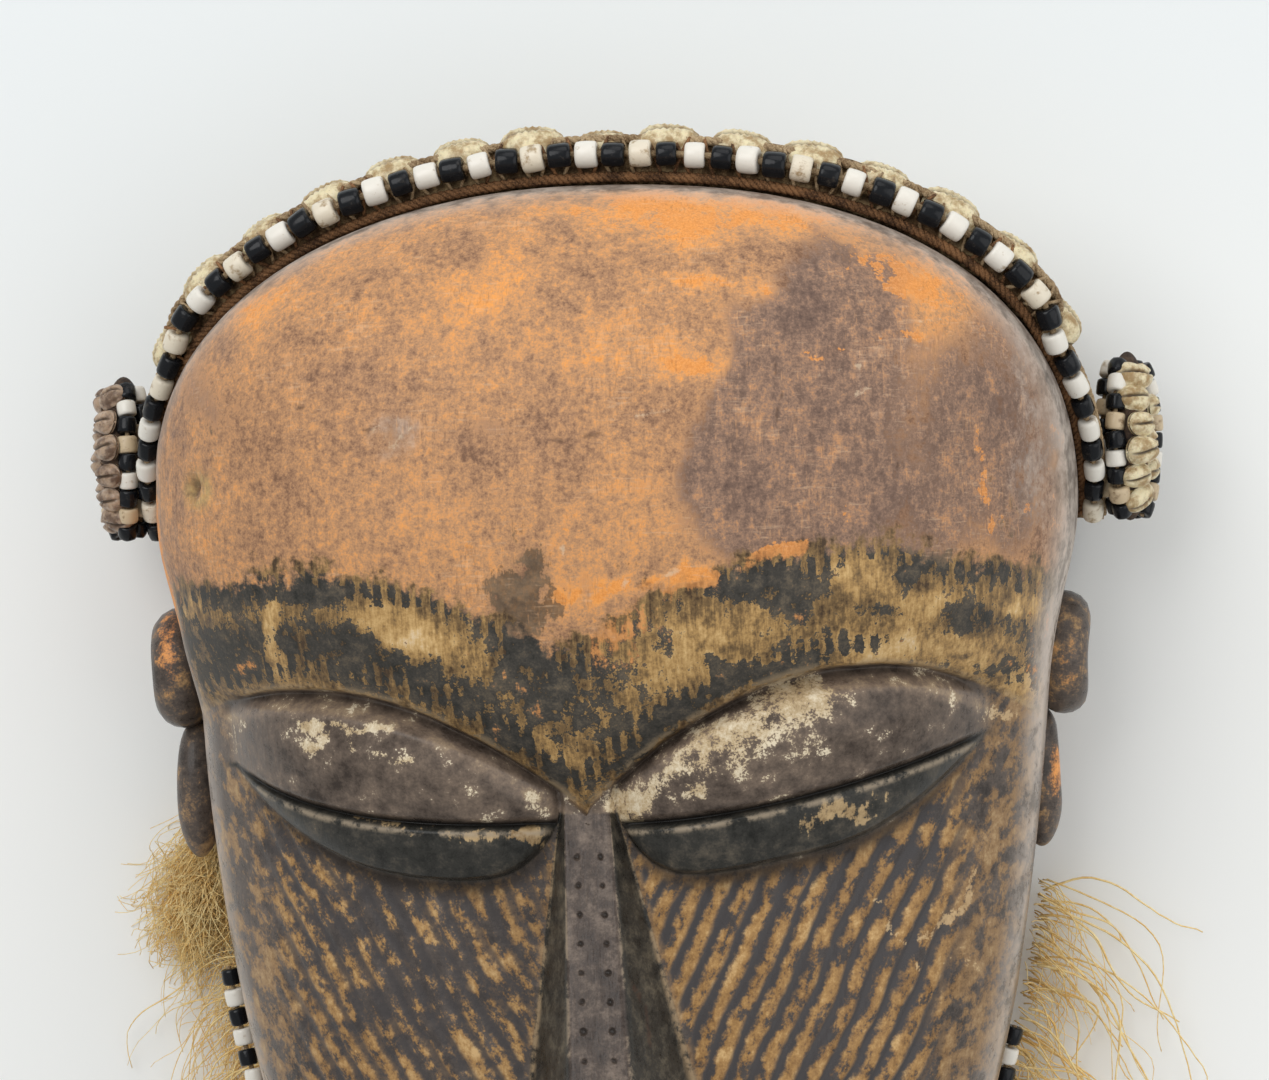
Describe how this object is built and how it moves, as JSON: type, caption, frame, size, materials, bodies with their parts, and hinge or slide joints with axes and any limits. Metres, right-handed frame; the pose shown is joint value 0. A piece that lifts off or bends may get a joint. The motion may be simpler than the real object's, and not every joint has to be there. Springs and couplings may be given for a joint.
{
  "type": "beaded mask",
  "caption": "Carved wooden face mask with a hollow back, a sewn cap edged with beads and cowrie shells, and a raffia fringe along the jaw.",
  "frame": {"origin": "middle of the part's box, on the surface that the mask lies on", "axes": "+X across the face, toward its right as it is looked at, +Y toward the crown, +Z out of the face"},
  "size_m": [0.245, 0.3216, 0.1204],
  "materials": {
    "wood": "worn satin",
    "cap_cloth": "matte",
    "beads": "gloss",
    "cowries": "worn gloss",
    "lobe_beads": "gloss",
    "raffia": "matte fibres"
  },
  "bodies": {
    "root": {"face": "wood", "cap": "cap_cloth", "hairline_beads": "beads", "jaw_beads": "beads", "cowrie_row_1": "cowries", "cowrie_row_2": "cowries", "cowrie_row_3": "cowries", "temple_lobe_left": "lobe_beads", "temple_lobe_right": "lobe_beads", "raffia_right": "raffia", "raffia_chin": "raffia", "raffia_left": "raffia"}
  },
  "joints": []
}
